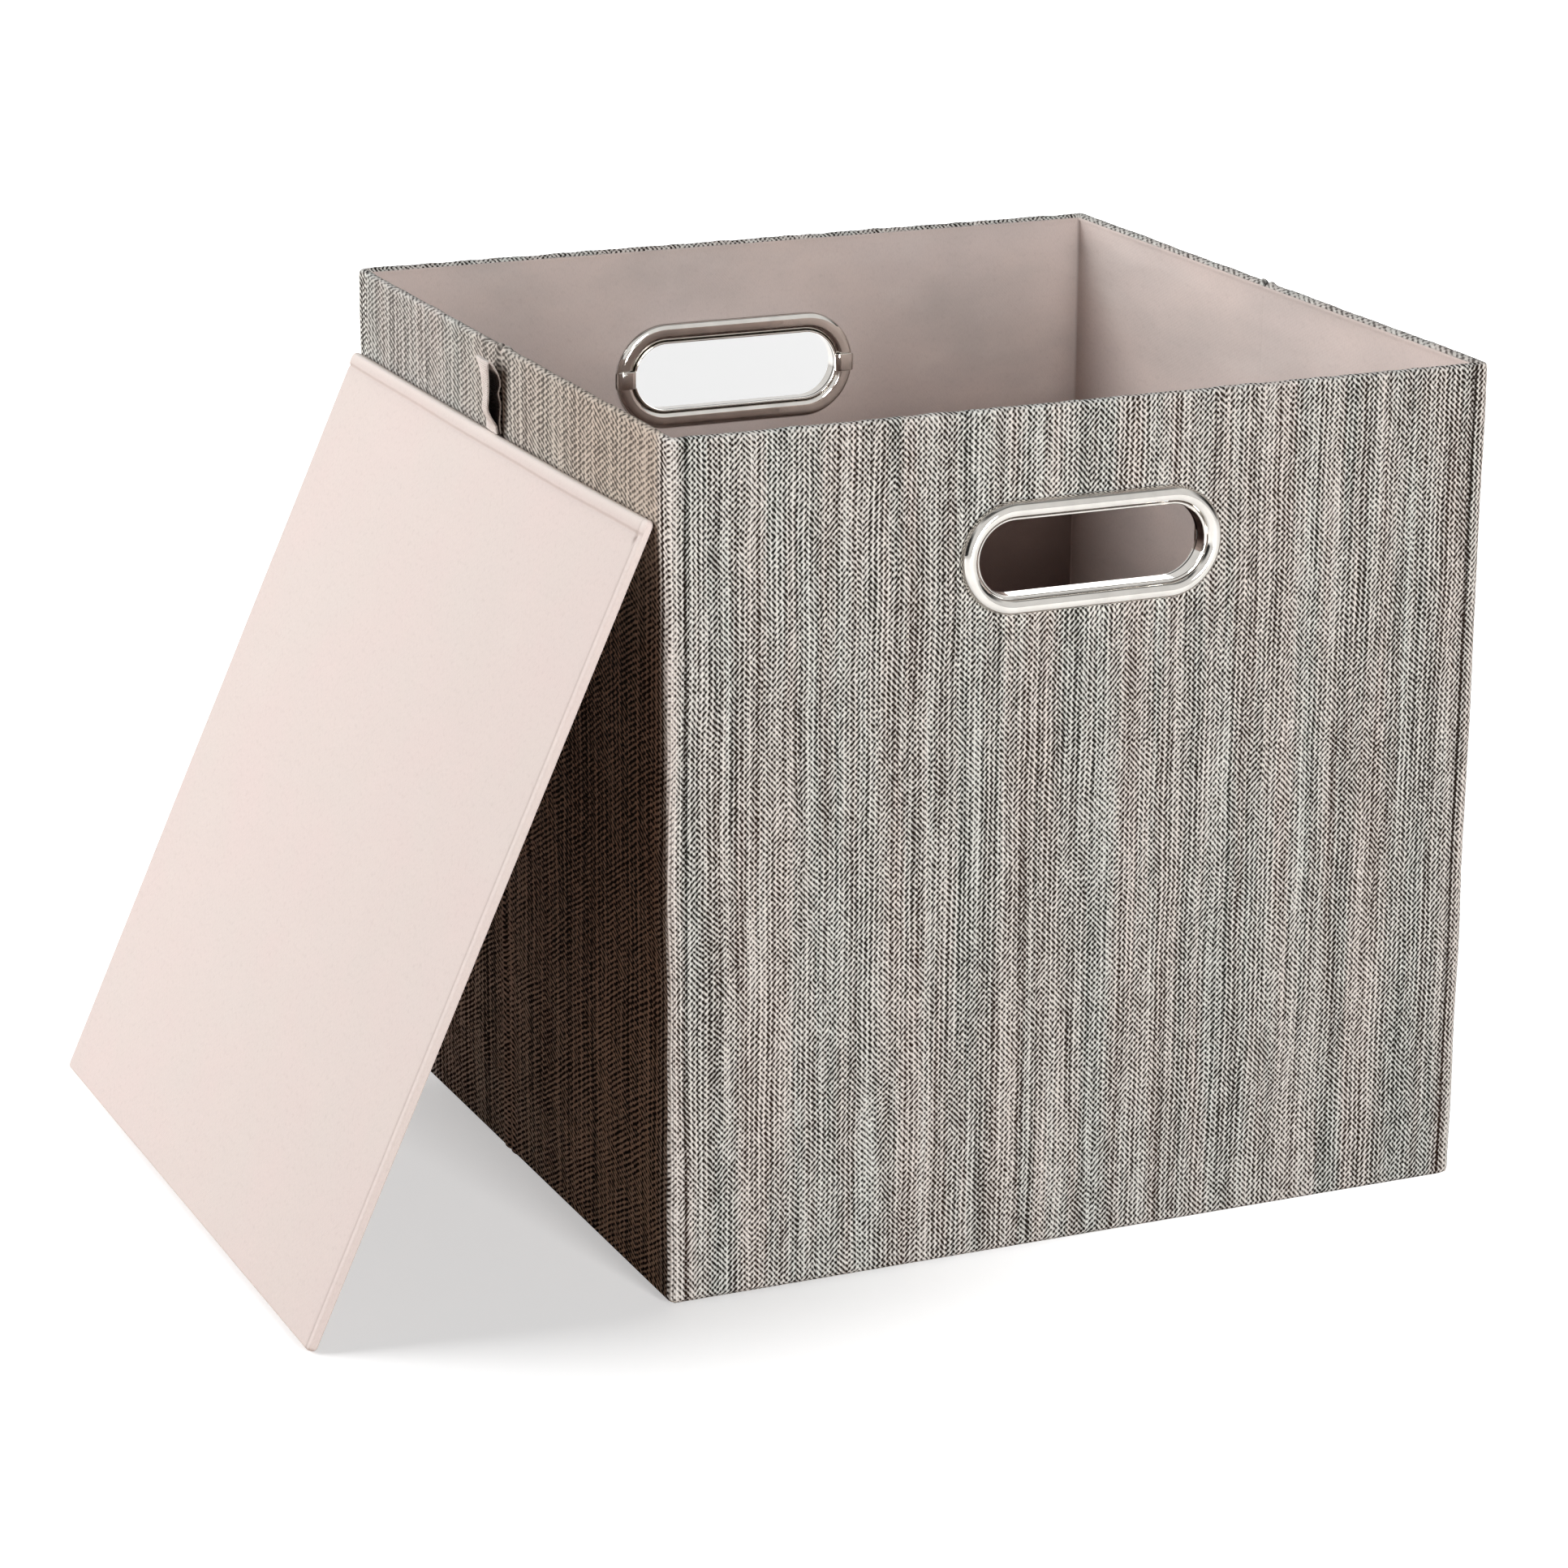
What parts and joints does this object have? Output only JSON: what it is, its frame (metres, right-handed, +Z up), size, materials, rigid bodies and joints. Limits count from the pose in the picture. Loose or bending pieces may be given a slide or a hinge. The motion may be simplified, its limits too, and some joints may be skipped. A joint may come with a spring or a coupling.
{
  "type": "fabric storage bin",
  "caption": "Open cube bin of cloth-covered card walls that fold flat on sewn creases, with oval metal grips and a loose base board leaning on one side.",
  "frame": {"origin": "centre of the bin's underside, on the floor", "axes": "+Z up; the front wall, with a grip, faces -Y; the creased left wall, with the base board leaning on it, faces -X"},
  "size_m": [0.4649, 0.338, 0.324],
  "materials": {
    "tweed": "matt",
    "lining": "matt",
    "board_cloth": "matt",
    "ribbon": "matt",
    "card": "matt",
    "chrome": "polished"
  },
  "bodies": {
    "front_wall": {"front_cover": "tweed", "front_card": "card", "front_lining": "lining", "front_grip_bezel": "chrome", "front_grip_ring": "chrome", "front_grip_claw_left": "chrome", "front_grip_claw_right": "chrome", "floor_cover": "tweed", "floor_lining": "lining"},
    "left_front": {"left_front_cover": "tweed", "left_front_card": "card", "left_front_lining": "lining"},
    "left_back": {"left_back_cover": "tweed", "left_back_card": "card", "left_back_lining": "lining"},
    "back_wall": {"back_cover": "tweed", "back_card": "card", "back_lining": "lining", "back_grip_bezel": "chrome", "back_grip_ring": "chrome", "back_grip_claw_left": "chrome", "back_grip_claw_right": "chrome"},
    "right_back": {"right_back_cover": "tweed", "right_back_card": "card", "right_back_lining": "lining"},
    "right_front": {"right_front_cover": "tweed", "right_front_card": "card", "right_front_lining": "lining"},
    "base_board": {"base_board_cover": "board_cloth", "base_board_card": "card", "base_board_back_cloth": "board_cloth"},
    "pull_tab": {"pull_tab": "ribbon"}
  },
  "joints": [
    {"name": "left_front_fold", "type": "hinge", "parent": "front_wall", "child": "left_front", "pos_m": [-0.1615, -0.1615, 0.162], "axis": [0, 0, -1], "range_deg": [0, 86]},
    {"name": "left_centre_fold", "type": "hinge", "parent": "left_front", "child": "left_back", "pos_m": [-0.165, 0, 0.162], "axis": [0, 0, 1], "range_deg": [0, 172]},
    {"name": "left_rear_fold", "type": "hinge", "parent": "left_back", "child": "back_wall", "pos_m": [-0.1615, 0.1615, 0.162], "axis": [0, 0, -1], "range_deg": [0, 86]},
    {"name": "right_rear_fold", "type": "hinge", "parent": "back_wall", "child": "right_back", "pos_m": [0.1615, 0.1615, 0.162], "axis": [0, 0, -1], "range_deg": [0, 86]},
    {"name": "right_front_fold", "type": "hinge", "parent": "front_wall", "child": "right_front", "pos_m": [0.1615, -0.1615, 0.162], "axis": [0, 0, 1], "range_deg": [0, 86]},
    {"name": "base_board_tip", "type": "hinge", "parent": "front_wall", "child": "base_board", "pos_m": [-0.2963, 0.0026, 0], "axis": [0, -1, 0], "range_deg": [0, 24.3]},
    {"name": "pull_tab_fold", "type": "hinge", "parent": "base_board", "child": "pull_tab", "pos_m": [-0.16792, 0.0026, 0.29171], "axis": [0, -1, 0], "range_deg": [0, 80]}
  ],
  "couplings": [
    {"joint": "left_centre_fold", "follows": "left_front_fold", "ratio": 2},
    {"joint": "left_rear_fold", "follows": "left_front_fold", "ratio": 1},
    {"joint": "right_rear_fold", "follows": "left_front_fold", "ratio": 1},
    {"joint": "right_front_fold", "follows": "left_front_fold", "ratio": 1}
  ]
}
